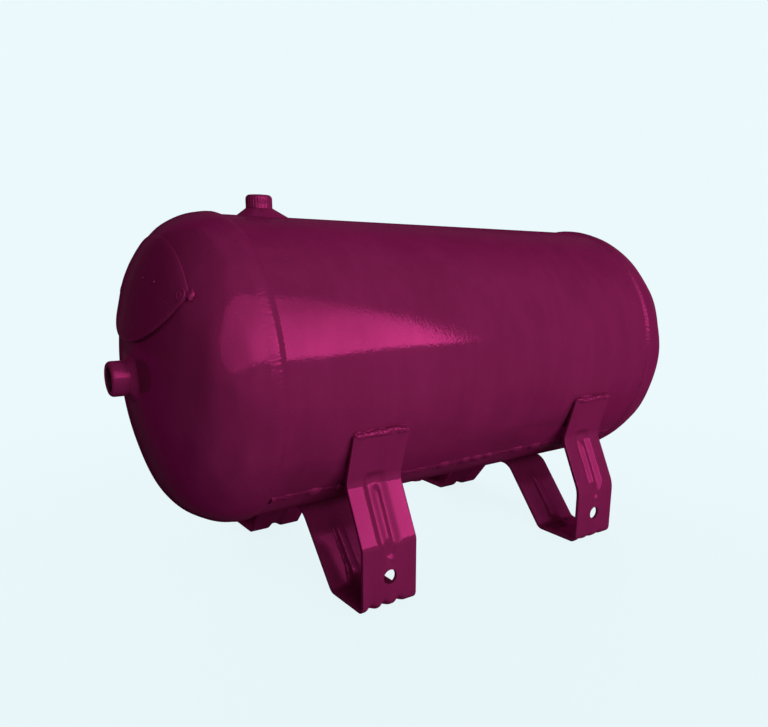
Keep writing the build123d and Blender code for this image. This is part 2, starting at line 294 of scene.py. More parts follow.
def domeRadius(x):  # outside radius of a head at a distance from the middle of the tank
    if x < knuckleX:
        return tank["headR"]
    turn = math.asin(min((x - knuckleX) / tank["knuckleR"], 1.0))
    if turn < math.pi / 2 - crownTurn:
        return knuckleSeat + tank["knuckleR"] * math.cos(turn)
    return math.sqrt(max(tank["crownR"] ** 2 - (x - crownX) ** 2, 0.0))


def domeX(radius):  # the other way round
    if radius < crownEdge:
        return crownX + math.sqrt(tank["crownR"] ** 2 - radius ** 2)
    return knuckleX + math.sqrt(max(tank["knuckleR"] ** 2 - (radius - knuckleSeat) ** 2, 0.0))


# shell

shellPlan = dict(half=0.2045, wall=0.0015, rings=60, steps=288, topHoleR=0.0065, drainHoleR=0.0047)


def makeShell():
    plan = shellPlan
    bm = bmesh.new()
    polyline(bm, [(-plan["half"], 0, shellTop), (plan["half"], 0, shellTop)])
    bmesh.ops.subdivide_edges(bm, edges=bm.edges, cuts=plan["rings"])
    turnRound(bm, axisPoint, (1, 0, 0), plan["steps"])
    topHole = Vector((tank["topSocketX"], 0, shellTop)), plan["topHoleR"]
    drainHole = Vector((0, 0, shellBottom)), plan["drainHoleR"]
    for spot, radius in (topHole, drainHole):
        inside = [face for face in bm.faces if (face.calc_center_median() - spot).length < radius]
        bmesh.ops.delete(bm, geom=inside, context="FACES")
    thicken(addPiece("tankShell", bm, [tankPaint], ["shell"]), plan["wall"])


makeShell()


# dished heads

headPlan = dict(
    wall=0.0014, arcSteps=26, crownSteps=18, steps=288, hole=0.0083,
    wave=0.0006, frontWave=0.0011, wavePace=(70, 30, 28), waveSeed=(3.7, 1.3),
    waveStarts=(0.055, 0.09), waveEnds=(0.1195, 0.1214), frontShares=(0.55, 0.9),
)


def makeHead(hand):
    plan = headPlan
    sign = handSign[hand]
    bm = bmesh.new()
    rimTop = tank["axisZ"] + tank["headR"]
    verts = polyline(bm, [(sign * tank["rimX"], 0, rimTop), (sign * knuckleX, 0, rimTop)])
    last = sweepVert(bm, verts[1], (sign * knuckleX, 0, tank["axisZ"] + knuckleSeat), (0, sign, 0),
                     math.pi / 2 - crownTurn, plan["arcSteps"])
    holeTurn = math.asin(plan["hole"] / tank["crownR"])
    sweepVert(bm, last, (sign * crownX, 0, tank["axisZ"]), (0, sign, 0), crownTurn - holeTurn,
              plan["crownSteps"])
    turnRound(bm, axisPoint, (1, 0, 0), plan["steps"])
    for vert in bm.verts:  # shallow waves that the press left on the knuckle
        out = vert.co - axisPoint
        edge = math.hypot(out.y, out.z)
        reach = between(edge, plan["waveStarts"], plan["waveEnds"])
        x, y, z = (part * pace for part, pace in zip(out, plan["wavePace"]))
        wave = uneven(x + sign * plan["waveSeed"][0], y + plan["waveSeed"][1], z)
        front = smooth(-out.y / edge, *plan["frontShares"])
        vert.co += out.normalized() * wave * reach * (plan["wave"] + plan["frontWave"] * front)
    thicken(addPiece(hand + "Head", bm, [headPaint], [hand + "_head"]), plan["wall"])


for hand in handSign:
    makeHead(hand)
print("shell and heads made")


# ring welds at the rims, with a profile of places along the tank and heights over the wall

ringPlan = dict(
    onShell={
        "left": [(0.1965, 0.0), (0.1979, 0.00052), (0.1993, 0.00104), (0.2007, 0.00154), (0.2020, 0.00174)],
        "right": [(0.1984, 0.0), (0.1991, 0.00048), (0.1998, 0.00096), (0.2006, 0.00144), (0.2020, 0.00174)],
    },
    onHead=[(0.2040, 0.00025), (0.2062, 0.00019), (0.2082, 0.00007), (0.2096, -0.00012)],
    steps=1500, bodyStarts=(0.1967, 0.1995), bodyEnds=(0.2075, 0.2095), toeEnds=(0.1985, 0.2032),
    ripplePitch=0.0031, ripple=0.00006, toeRipple=0.00013, toeShift=0.00035,
    grain=0.00012, grainPace=60, grainAcross=300, wander=0.00045, wanderPace=30, fineShare=0.6, finePace=90,
    crest=0.2020, curlWidth=0.005, curl=0.9, drift=0.8, driftPace=14,
)


def makeRingWeld(hand):
    plan = ringPlan
    sign = handSign[hand]
    bm = bmesh.new()
    points = [(x, tank["shellR"] + lift) for x, lift in plan["onShell"][hand]]
    points += [(x, domeRadius(x) + lift) for x, lift in plan["onHead"]]
    polyline(bm, [(sign * x, 0, tank["axisZ"] + radius) for x, radius in points])
    turnRound(bm, axisPoint, (1, 0, 0), plan["steps"])
    for vert in bm.verts:
        out = vert.co - axisPoint
        across = abs(out.x)
        out.x = 0
        turn = math.atan2(out.z, out.y)
        body = between(across, plan["bodyStarts"], plan["bodyEnds"])
        toe = 1 - smooth(across, *plan["toeEnds"])
        curl = turn * tank["shellR"] / plan["ripplePitch"]
        curl += plan["drift"] * unevenRound(turn, plan["driftPace"], sign)
        curl += plan["curl"] * ((across - plan["crest"]) / plan["curlWidth"]) ** 2
        ripple = abs(math.sin(math.pi * curl)) - 0.5
        grain = unevenRound(turn, plan["grainPace"], across * plan["grainAcross"] + sign * 7)
        lift = body * ((plan["ripple"] + plan["toeRipple"] * toe) * ripple + plan["grain"] * grain)
        edge = unevenRound(turn, plan["wanderPace"], sign * 5)
        edge += plan["fineShare"] * unevenRound(turn, plan["finePace"], sign * 2)
        shift = plan["wander"] * edge * (1 - body * 0.5) - plan["toeShift"] * toe * (1 - body) * ripple
        vert.co.x += sign * shift
        vert.co += out.normalized() * lift
    addPiece(hand + "RingWeld", bm, [weldPaint], [hand + "_head_weld"])


for hand in handSign:
    makeRingWeld(hand)


# lengthwise seam weld, low on the front

# widths and heights of the thin stretches, lumps, ripples and grain are shares of the bead's
seamPlan = dict(
    turn=46.0, half=0.1965, width=0.0075, height=0.0020, cuts=(460, 14), sink=0.0002, lowest=0.15,
    wander=0.0016, wanderPace=26, lumpPace=78, lumpFrom=(-0.05, 0.3), ripplePitch=0.0030, rippleLean=1.3,
    thinWidth=0.85, lumpWidth=0.4, waverWidth=0.16, waverPace=70,
    thinHeight=0.2, lumpHeight=0.95, rippleHeight=0.2, grainHeight=0.3, grainPace=(130, 3),
)


def makeSeamWeld():
    plan = seamPlan
    bm = startGrid(plan["cuts"])
    for vert in bm.verts:
        along = vert.co.x * 2 * plan["half"]
        across = vert.co.y
        wander = plan["wander"] * uneven(along * plan["wanderPace"], 3.1)
        lump = smooth(uneven(along * plan["lumpPace"], 0, 5.0), *plan["lumpFrom"])
        waver = uneven(along * plan["waverPace"], 0, 8.0)
        wide = plan["width"] * (plan["thinWidth"] + plan["lumpWidth"] * lump + plan["waverWidth"] * waver)
        dome = math.sqrt(max(1 - (2 * across) ** 2, 0.0))
        curl = along / plan["ripplePitch"] + plan["rippleLean"] * (2 * across) ** 2
        paceAlong, paceAcross = plan["grainPace"]
        high = plan["thinHeight"] + plan["lumpHeight"] * lump
        high += plan["rippleHeight"] * abs(math.sin(math.pi * curl))
        high += plan["grainHeight"] * uneven(along * paceAlong, across * paceAcross, 1.0)
        radius = tank["shellR"] - plan["sink"] + plan["height"] * dome * max(high, plan["lowest"])
        turn = math.radians(plan["turn"]) + (across * wide + wander) / tank["shellR"]
        vert.co = Vector((along, -radius * math.cos(turn), tank["axisZ"] - radius * math.sin(turn)))
    addPiece("seamWeld", bm, [weldPaint], ["shell_seam_weld"])


makeSeamWeld()
print("tank welds made")


# threaded sockets

endSocket = dict(radius=0.0132, bore=0.0093, height=0.016, leg=0.0075, collar=0.004, pitch=0.00181, skew=0.0,
                 fall=1.9, ribs=24, ribDepth=0.0)
socketPlans = {
    "topSocket": dict(node="top_socket", radius=0.0104, bore=0.0075, height=0.016, leg=0.011, collar=0.0066,
                      pitch=0.00134, skew=0.0022, fall=1.1, ribs=28, ribDepth=0.0003),
    "leftEndSocket": dict(endSocket, node="left_end_socket"),
    "rightEndSocket": dict(endSocket, node="right_end_socket"),
    "drainSocket": dict(node="drain_socket", radius=0.009, bore=0.0057, height=0.008, leg=0.004,
                        collar=0.0035, pitch=0.00134, skew=0.0, fall=1.3, ribs=20, ribDepth=0.0),
}
socketSpots = {
    "topSocket": Matrix.Translation((tank["topSocketX"], 0, shellTop)),
    "leftEndSocket": Matrix.Translation((-apexX, 0, tank["axisZ"])) @ Matrix.Rotation(-math.pi / 2, 4, "Y"),
    "rightEndSocket": Matrix.Translation((apexX, 0, tank["axisZ"])) @ Matrix.Rotation(math.pi / 2, 4, "Y"),
    "drainSocket": Matrix.Translation((0, 0, shellBottom)) @ Matrix.Rotation(math.pi, 4, "X"),
}
# the rounding of the outer edge and the chamfer of the bore: how far in or out, and how far down
socketEdge = dict(lip=[(0.0002, 0.0018), (0.0008, 0.0008), (0.0016, 0.0002), (0.0022, 0.0)],
                  chamfer=[(0.0011, 0.0), (0.0002, 0.0010)], threadTop=0.0012, threadEnd=0.0016,
                  relief=0.0008, ribEnd=0.0030, ribRows=5, ribSteps=6, slack=0.0001, foot=0.0006,
                  bareWidth=0.0007, bareTop=0.0011)


def wallDrop(name, x, y):  # how far the tank wall falls away beside the socket's middle
    if name in ("topSocket", "drainSocket"):
        return tank["shellR"] - math.sqrt(tank["shellR"] ** 2 - y * y)
    return tank["crownR"] - math.sqrt(tank["crownR"] ** 2 - x * x - y * y)


def makeSocket(name):
    plan, edge = socketPlans[name], socketEdge
    outer, bore, height = plan["radius"], plan["bore"], plan["height"]
    ribbed = height - edge["ribEnd"] - plan["collar"]
    rows = edge["ribRows"] - 1
    rise = [plan["collar"] + ribbed * row / rows for row in range(edge["ribRows"])]
    points = [(outer, -edge["foot"])] + [(outer, z) for z in rise]
    points += [(outer - inward, height - down) for inward, down in edge["lip"]]
    points += [(bore + outward, height - down) for outward, down in edge["chamfer"]]
    z = height - edge["threadTop"]
    while z > edge["threadEnd"]:  # thread crests and roots
        points += [(bore, z), (bore + plan["pitch"] * 0.5, z - plan["pitch"] * 0.5)]
        z -= plan["pitch"]
    points += [(bore + edge["relief"], edge["relief"]), (bore + edge["relief"], -edge["foot"])]
    bm = bmesh.new()
    polyline(bm, [(radius, 0, z) for radius, z in points])
    turnRound(bm, (0, 0, 0), (0, 0, 1), plan["ribs"] * edge["ribSteps"])
    for vert in bm.verts:  # shallow ribs that the tool left on the outside
        if vert.co.xy.length > outer - edge["slack"] and rise[0] < vert.co.z < rise[-1] + edge["slack"]:
            rib = 0.5 - 0.5 * math.cos(plan["ribs"] * math.atan2(vert.co.y, vert.co.x))
            vert.co.xy *= 1 - plan["ribDepth"] * rib / outer
    for face in bm.faces:  # the threads are bare metal, coloured near-black with the paint's wine tint as painted shade inside the bore
        spot = face.calc_center_median()
        deep = spot.z < height - edge["bareTop"]
        face.material_index = int(deep and spot.xy.length < bore + edge["bareWidth"])
    for vert in bm.verts:
        if vert.co.z < 0:
            vert.co.z -= wallDrop(name, vert.co.x, vert.co.y)
    bmesh.ops.transform(bm, matrix=socketSpots[name], verts=bm.verts)
    addPiece(name, bm, [socketPaint, shadedBoreSteel], [plan["node"]])


collarPlan = dict(rows=9, steps=144, overlap=0.0003, sink=0.0002, ripple=0.00028, ripplePitch=0.0034,
                  rippleLean=1.4, legWobble=0.12, riseWobble=0.1, wobblePace=2.2)


def makeCollar(name):
    plan, bead = socketPlans[name], collarPlan
    start = plan["radius"] - bead["overlap"]
    bm = bmesh.new()
    polyline(bm, [(start + row / (bead["rows"] - 1), 0, 0) for row in range(bead["rows"])])
    turnRound(bm, (0, 0, 0), (0, 0, 1), bead["steps"])
    for vert in bm.verts:
        turn = math.atan2(vert.co.y, vert.co.x)
        share = min(max(vert.co.xy.length - start, 0.0), 1.0)
        wobble = unevenRound(turn, bead["wobblePace"], len(name))
        leg = plan["leg"] * (1 + bead["legWobble"] * wobble) + plan["skew"] * math.cos(turn)
        radius = start + share * leg
        x, y = radius * math.cos(turn), radius * math.sin(turn)
        rise = (1 - share) ** plan["fall"] * plan["collar"] * (1 + bead["riseWobble"] * wobble)
        curl = turn * radius / bead["ripplePitch"] + bead["rippleLean"] * share
        rise += bead["ripple"] * math.sin(math.pi * share) * (abs(math.sin(math.pi * curl)) - 0.5)
        vert.co = Vector((x, y, rise - wallDrop(name, x, y) - bead["sink"]))
    bmesh.ops.transform(bm, matrix=socketSpots[name], verts=bm.verts)
    addPiece(name + "Weld", bm, [weldPaint], [plan["node"] + "_weld"])


for name in socketPlans:
    makeSocket(name)
    makeCollar(name)
print("sockets made")


# foot straps: a flat strip that is pressed, then folded from the saddle outwards

# turns are in degrees, and lengths run along the outer face from the saddle to the tab
strapPlan = dict(
    width=0.050, thickness=0.003, cuts=(50, 520), sharpTurn=55,
    saddleTurn=9.0724, hipR=0.018, hipTurn=58.9106, leg=0.061268, heelR=0.010, foot=0.037354, toeR=0.007,
    upright=0.043917, kneeR=0.009, kneeTurn=26.0633, slope=0.044619, neckR=0.012, neckTurn=42.5633,
    tab=0.035726,
    holeRun=0.1753, holeR=0.006, holeRows=(150, 162), holeBlend=2.2,
    waver=0.00012, waverPace=(60, 40, 90), waverFrom=(0.16, 0.2),
)
# what the press does: stretches along the strip, half widths and depths
pressPlan = dict(
    channelStarts=(0.188, 0.194), channelEnds=(0.253, 0.262), channelHalf=0.0110, channelDepth=0.0028,
    pinch=(0.186, 0.208), pinchShare=0.3, wallShare=0.46, straightShare=0.75,
    ridgeStarts=(0.198, 0.208), ridgeEnds=(0.243, 0.252), ridgeHalf=(0.0004, 0.0050), ridgeHeight=0.8,
    beadStarts=(0.043, 0.052), beadEnds=(0.088, 0.097), beadHalf=(0.0012, 0.0060), beadDepth=0.0014,
    marks=((-0.0012, 0.1885, 0.0022, 0.0009), (0.0022, 0.1858, 0.0019, 0.0007)),
    toeRun=0.1508, toeDarts=(-0.0163, -0.0043, 0.0097), toeDepth=0.0024, toeHalf=(0.0029, 0.0058),
    heelRun=0.1036, heelDepth=0.0036, heelHalf=(0.0055, 0.0095),
)
strapSpots = {"left": -0.119, "right": 0.1255}
kneeRadius = {"left": 0.009, "right": 0.030}  # the right strap is bent more softly
toeShare = {"left": 1.4, "right": 0.45}  # and its toe is smoother


def follow(place, heading, bend, gone):  # along an arc or a straight stretch, in the Y-Z plane
    if bend:
        side = Vector((-math.sin(heading), math.cos(heading))) / bend
        place = place + side - Matrix.Rotation(bend * gone, 2) @ side
    else:
        place = place + Vector((math.cos(heading), math.sin(heading))) * gone
    return place, heading + bend * gone


def bent(radius, degrees):  # length and turn of a bend
    return radius * math.radians(abs(degrees)), math.radians(degrees)


def foldStops(hand):  # start of each stretch: run, place, heading and turn per metre
    plan = strapPlan
    knee = kneeRadius[hand]
    shorter = (knee - plan["kneeR"]) * math.tan(math.radians(plan["kneeTurn"]) / 2)
    stretches = [
        bent(tank["shellR"] + plan["thickness"], -plan["saddleTurn"]),
        bent(plan["hipR"], plan["hipTurn"]), (plan["leg"], 0.0),
        bent(plan["heelR"], plan["saddleTurn"] - plan["hipTurn"]), (plan["foot"], 0.0),
        bent(plan["toeR"], -90.0), (plan["upright"] - shorter, 0.0),
        bent(knee, -plan["kneeTurn"]), (plan["slope"] - shorter, 0.0),
        bent(plan["neckR"], plan["neckTurn"]), (plan["tab"], 0.0),
    ]
    stops = []
    run, place, heading = 0.0, Vector((0.0, shellBottom - plan["thickness"])), math.pi
    for length, turn in stretches:
        stops.append((run, place, heading, turn / length))
        place, heading = follow(place, heading, turn / length, length)
        run += length
    return stops, run


strapStops = {hand: foldStops(hand) for hand in strapSpots}


def foldAt(hand, run):  # place and outward direction on the strip's outer face
    start, place, heading, bend = [stop for stop in strapStops[hand][0] if stop[0] <= run + 1e-9][-1]
    place, heading = follow(place, heading, bend, run - start)
    return place, Vector((-math.sin(heading), math.cos(heading)))


def bump(value, centre, half, power=2):
    return math.exp(-((value - centre) / half) ** power)


def pressDepth(hand, across, run):  # how far the press pushes the strip inwards
    plan = pressPlan
    narrow, straight = plan["pinchShare"], plan["straightShare"]
    half = plan["channelHalf"] * (narrow + (1 - narrow) * smooth(run, *plan["pinch"]))  # narrow near the knee
    side = min(max((half - abs(across)) / (plan["wallShare"] * half), 0.0), 1.0)
    trough = straight * side + (1 - straight) * smooth(side, 0.0, 1.0)
    ridge = 1 - smooth(abs(across), *plan["ridgeHalf"])
    ridge *= between(run, plan["ridgeStarts"], plan["ridgeEnds"])
    depth = plan["channelDepth"] * trough * (1 - plan["ridgeHeight"] * ridge)
    depth *= between(run, plan["channelStarts"], plan["channelEnds"])
    bead = 1 - smooth(abs(across), *plan["beadHalf"])
    bead *= between(run, plan["beadStarts"], plan["beadEnds"])
    depth += plan["beadDepth"] * bead
    for spot, away, wide, deep in plan["marks"]:  # small marks below the channel
        depth += deep * bump(across, spot, wide) * bump(run, away, wide)
    wide, long = plan["toeHalf"]
    toeDepth = toeShare[hand] * plan["toeDepth"] * bump(run, plan["toeRun"], long)
    depth += toeDepth * sum(bump(across, spot, wide) for spot in plan["toeDarts"])
    wide, long = plan["heelHalf"]
    return depth + plan["heelDepth"] * bump(across, 0, wide, 4) * bump(run, plan["heelRun"], long)


def rowRun(hand, row):  # rows of the flat strip fall on both sides of the bolt hole
    plan = strapPlan
    first, last = plan["holeRows"]
    ends = ((0, 0.0), (first, plan["holeRun"] - plan["holeR"]), (last, plan["holeRun"] + plan["holeR"]),
            (plan["cuts"][1] / 2, strapStops[hand][1]))
    for (rowA, runA), (rowB, runB) in zip(ends, ends[1:]):
        if rowA - 1e-4 <= row <= rowB + 1e-4:
            run = runA + (runB - runA) * (row - rowA) / (rowB - rowA)
    return run


def cutHole(bm, spot):  # a square is cut out of the flat and rounded into the hole
    plan = strapPlan
    middles = [(face, face.calc_center_median() - spot) for face in bm.faces]
    inside = [face for face, away in middles if max(abs(away.x), abs(away.y)) < plan["holeR"]]
    bmesh.ops.delete(bm, geom=inside, context="FACES")
    for vert in bm.verts:
        away = vert.co - spot
        box = max(abs(away.x), abs(away.y)) / plan["holeR"]
        if 0.99 < box < plan["holeBlend"]:
            pull = 1 - smooth(box, 1.0, plan["holeBlend"])
            vert.co = spot + away * (1 + pull * (box * plan["holeR"] / away.length - 1))


def makeStrap(hand):
    plan = strapPlan
    shift = strapSpots[hand]
    bm = startGrid(plan["cuts"])
    for vert in bm.verts:
        run = rowRun(hand, abs(vert.co.y) * plan["cuts"][1])
        vert.co = Vector((vert.co.x * plan["width"], math.copysign(run, vert.co.y), 0))
    for sign in faceSign.values():
        cutHole(bm, Vector((0, sign * plan["holeRun"], 0)))
    for vert in bm.verts:
        across, run = vert.co.x, vert.co.y
        place, out = foldAt(hand, abs(run))
        paceAcross, paceAlong, paceSeed = plan["waverPace"]
        waver = plan["waver"] * uneven(across * paceAcross, run * paceAlong, shift * paceSeed)
        waver *= smooth(abs(run), *plan["waverFrom"])
        place = place - out * (pressDepth(hand, across, abs(run)) + waver)
        vert.co = Vector((across + shift, place.x if run < 0 else -place.x, place.y))
    piece = addPiece(hand + "FootStrap", bm, [strapPaint], [hand + "_foot_strap"])
    thicken(piece, plan["thickness"])
    softenEdges(piece, plan["sharpTurn"])


for hand in strapSpots:
    makeStrap(hand)
print("foot straps made")


# welds of the straps

tabWeldPlan = dict(
    radius=0.0044, half=0.0256, cuts=(140, 28), shift=0.0012, sweep=170.0, start=-5.0, endPower=8,
    coarse=0.24, coarsePace=110, fine=0.16, finePace=330, ripple=0.05, ripplePitch=0.0042, rippleLean=0.25,
    passes=0.15, passTurn=3.4, passWander=2, passPace=60, wander=0.0006, wanderPace=90,
    lift=0.0006, rise=1.05,
)


def makeTabWeld(hand, face):
    plan = tabWeldPlan
    sign = faceSign[face]
    seed = strapSpots[hand] * 40 + sign
    bm = startGrid(plan["cuts"])
    top, out = foldAt(hand, strapStops[hand][1])
    inner = top - out * strapPlan["thickness"]
    up = Vector((out.y, -out.x))  # along the tab, away from the neck
    for vert in bm.verts:
        along = vert.co.x * 2 * plan["half"]
        turn = math.radians((vert.co.y + 0.5) * plan["sweep"] + plan["start"])
        ends = math.sqrt(max(1 - (2 * vert.co.x) ** plan["endPower"], 0.0))
        lump = 1 + plan["coarse"] * uneven(along * plan["coarsePace"], seed)
        lump += plan["fine"] * uneven(along * plan["finePace"], seed, turn * 2)
        curl = along / plan["ripplePitch"] + plan["rippleLean"] * turn
        lump += plan["ripple"] * (abs(math.sin(math.pi * curl)) - 0.5)
        step = plan["passTurn"] * turn + plan["passWander"] * uneven(along * plan["passPace"], seed, 2.0)
        lump += plan["passes"] * math.sin(step)  # the bead was laid in two passes
        radius = plan["radius"] * lump * ends
        wander = plan["wander"] * uneven(along * plan["wanderPace"], 4.0, seed)
        spot = inner + up * (radius * math.sin(turn) * plan["rise"] + wander)
        spot += out * (radius * math.cos(turn) + plan["lift"])
        vert.co = Vector((strapSpots[hand] + along + plan["shift"], spot.x * -sign, spot.y))
    node = hand + "_" + face + "_tab_weld"
    addPiece(hand + face.title() + "TabWeld", bm, [weldPaint], [node])


saddleWeldPlan = dict(leg=0.003, turn=9.0, cuts=(70, 8), endPower=6, lump=0.2, lumpPace=(26, 50), belly=0.16,
                      ripple=0.08, ripplePace=250, reach=0.9, sink=0.0001)


def makeSaddleWeld(hand, side):
    plan = saddleWeldPlan
    sign = handSign[side]
    bm = startGrid(plan["cuts"])
    edge = strapSpots[hand] + sign * strapPlan["width"] / 2
    for vert in bm.verts:
        turn = vert.co.x * 2 * math.radians(plan["turn"])
        share = vert.co.y + 0.5
        ends = math.sqrt(max(1 - (2 * vert.co.x) ** plan["endPower"], 0.0))
        paceRound, paceSeed = plan["lumpPace"]
        leg = plan["leg"] * (1 + plan["lump"] * uneven(turn * paceRound, edge * paceSeed)) * ends
        ripple = plan["ripple"] * math.sin(turn * plan["ripplePace"])
        leg *= 1 + plan["belly"] * math.sin(math.pi * share) + ripple
        down = leg * math.sin(share * math.pi / 2)
        along = leg * math.cos(share * math.pi / 2)
        radius = tank["shellR"] + down * plan["reach"] - plan["sink"]
        x = edge + sign * (along - plan["sink"])
        vert.co = Vector((x, radius * math.sin(turn), tank["axisZ"] - radius * math.cos(turn)))
    node = hand + "_saddle_" + side + "_weld"
    addPiece(hand + side.title() + "SaddleWeld", bm, [weldPaint], [node])


for hand in strapSpots:
    for face in faceSign:
        makeTabWeld(hand, face)
    for side in handSign:
        makeSaddleWeld(hand, side)
print("strap welds made")


# plate on the left head, in heights over the tank's axis

platePlan = dict(
    halfWidth=0.0782, middle=0.0615, corner=0.0620, top=0.1032, bottom=0.0266, cornerR=0.0055, gap=0.0003,
    thickness=0.002, rings=14, spokes=240, eyeletY=0.0713, eyeletZ=0.0624, cornerFrom=0.0034,
    standOff=0.0012, standOffAt=(0.028, 0.055), standOffShare=(0.5, 1.0), hug=0.0017, hugAt=(0.062, 0.096),
    sharpTurn=50,
)
plateFace = platePlan["gap"] + platePlan["thickness"]


def reachTo(start, way, centre, radius):  # from a point to the far side of a circle, in one direction
    gap = start - centre
    half = gap.dot(way)
    inside = half * half - gap.dot(gap) + radius * radius
    return -half + math.sqrt(inside) if inside > 0 else None


def plateSpot(turn, share):  # a place between the plate's middle and its edge
    plan = platePlan
    middle = Vector((0, plan["middle"]))
    way = Vector((math.cos(turn), math.sin(turn)))
    reaches = []
    for edge, sign in ((plan["top"], 1), (plan["bottom"], -1)):
        rise = abs(edge - plan["corner"])
        radius = (plan["halfWidth"] ** 2 + rise ** 2) / (2 * rise)
        reaches.append(reachTo(middle, way, Vector((0, edge - sign * radius)), radius))
    for side in (-1, 1):  # the rounded corner
        corner = reachTo(middle, way, Vector((side * plan["eyeletY"], plan["eyeletZ"])), plan["cornerR"])
        if corner and side * (middle + way * corner).x > plan["eyeletY"] + plan["cornerFrom"]:
            reaches.append(corner)
    return middle + way * (min(reaches) * share)


def overHead(y, z, lift):  # a place above the left head, and the direction out of it
    radius = math.hypot(y, z)
    x = domeX(radius)
    out = Vector((x - crownX, y, z)).normalized()
    if radius > crownEdge:
        inward = 1 - knuckleSeat / radius
        out = Vector((x - knuckleX, y * inward, z * inward)).normalized()
    place = Vector((x, y, z)) + out * lift
    return Vector((-place.x, place.y, place.z + tank["axisZ"])), Vector((-out.x, out.y, out.z))


def seatOnHead(y, z, lift):  # turns a piece so that its Z axis points out of the head
    place, out = overHead(y, z, lift)
    return Matrix.Translation(place) @ out.to_track_quat("Z", "Y").to_matrix().to_4x4()


def makePlate():
    plan = platePlan
    bm = bmesh.new()
    bmesh.ops.create_circle(bm, segments=plan["spokes"], radius=1.0, cap_ends=False)
    ring = list(bm.edges)
    for step in range(plan["rings"] - 1):
        made = bmesh.ops.extrude_edge_only(bm, edges=ring)["geom"]
        verts = {part for part in made if isinstance(part, bmesh.types.BMVert)}
        edges = [part for part in made if isinstance(part, bmesh.types.BMEdge)]
        ring = [edge for edge in edges if verts.issuperset(edge.verts)]
        for vert in verts:
            vert.co = vert.co.normalized() * (plan["rings"] - 1 - step) / plan["rings"]
    bmesh.ops.contextual_create(bm, geom=ring)
    bmesh.ops.poke(bm, faces=[face for face in bm.faces if len(face.verts) > 4])
    for vert in bm.verts:
        share = min(vert.co.length, 1.0)
        spot = plateSpot(math.atan2(vert.co.y, vert.co.x), share)
        low = (1 - smooth(spot.y, *plan["standOffAt"])) * smooth(share, *plan["standOffShare"])
        lift = plateFace + plan["standOff"] * low  # the lower edge stands off
        lift -= plan["hug"] * smooth(spot.y, *plan["hugAt"])  # the top edge hugs the head
        vert.co = overHead(spot.x, spot.y, lift)[0]
    piece = addPiece("headPlate", bm, [platePaint], ["head_plate"])
    thicken(piece, plan["thickness"])
    softenEdges(piece, plan["sharpTurn"])


# radius and height of each point, from the eyelet's rim to the middle of its rivet
eyeletPlan = dict(
    steps=72, sink=0.0002,
    rim=[(0.0045, 0.0), (0.0042, 0.00042), (0.0037, 0.0006), (0.0031, 0.00048), (0.0026, 0.00012)],
    rivet=[(0.0021, 0.0001), (0.0016, 0.00042), (0.0008, 0.00066), (0.0, 0.00075)],
)


def makeEyelet(face):
    plan = eyeletPlan
    bm = bmesh.new()
    polyline(bm, [(radius, 0, height) for radius, height in plan["rim"] + plan["rivet"]])
    turnRound(bm, (0, 0, 0), (0, 0, 1), plan["steps"])
    seat = seatOnHead(faceSign[face] * platePlan["eyeletY"], platePlan["eyeletZ"], plateFace - plan["sink"])
    bmesh.ops.transform(bm, matrix=seat, verts=bm.verts)
    addPiece("plateEyelet" + face.title(), bm, [platePaint])


tackPlan = dict(y=0.0785, z=0.0626, radius=0.0030, lift=0.0009, flat=0.62, wide=1.25,
                coarse=0.3, coarsePace=330, fine=0.12, finePace=900)


def makeTack(face):
    plan = tackPlan
    sign = faceSign[face]
    bm = bmesh.new()
    bmesh.ops.create_icosphere(bm, subdivisions=4, radius=plan["radius"])
    for vert in bm.verts:
        x, y, z = vert.co * plan["coarsePace"]
        fine = plan["fine"] * uneven(*(vert.co * plan["finePace"]))
        vert.co *= 1 + plan["coarse"] * uneven(x + sign, y, z) + fine
        vert.co.z *= plan["flat"]
        vert.co.y *= plan["wide"]
    bmesh.ops.transform(bm, matrix=seatOnHead(sign * plan["y"], plan["z"], plan["lift"]), verts=bm.verts)
    addPiece("plateTack" + face.title(), bm, [weldPaint], ["head_plate_" + face + "_weld"])


# drops of weld metal that stuck to the plate, under the paint: place and radius
spatterPlan = dict(drops=((-0.0388, 0.0697, 0.0012), (-0.0187, 0.0721, 0.0008), (-0.0566, 0.0577, 0.0005)),
                   liftShare=0.1)


def makeSpatter():
    bm = bmesh.new()
    for y, z, radius in spatterPlan["drops"]:
        seat = seatOnHead(y, z, plateFace + radius * spatterPlan["liftShare"])
        bmesh.ops.create_uvsphere(bm, u_segments=16, v_segments=10, radius=radius, matrix=seat)
    addPiece("plateSpatter", bm, [platePaint])


makePlate()
makeSpatter()
for face in faceSign:
    makeEyelet(face)
    makeTack(face)
print("head plate made")


# floor and world: camera, glossy and transmission rays see the pale background

stagePlan = dict(pale=(0.831, 0.947, 0.973), floor=(0.80, 0.905, 0.93), bounce=(0.13, 0.135, 0.14),
                 dim=(0.125, 0.13, 0.134), floorHalf=30, glowNear=0.93, glowFrom=(0.3, 0.9),
                 mirrorFrom=(1.2, 3.5), frontWay=(0.45, -0.9, 0), frontFrom=(0.2, 0.7))


def addStage(name, bm):
    mesh = bpy.data.meshes.new(name)
    bm.to_mesh(mesh)
    bm.free()
    piece = bpy.data.objects.new(name, mesh)
    scene.collection.objects.link(piece)
    finish = Finish(bpy.data.materials.new(name))
    mesh.materials.append(finish.owner)
    return piece, finish


def rayIs(finish, kind):
    return finish.node("ShaderNodeLightPath", output="Is " + kind + " Ray")


def seenDirectly(finish):
    return rayIs(finish, "Camera").atLeast(rayIs(finish, "Glossy")).atLeast(rayIs(finish, "Transmission"))


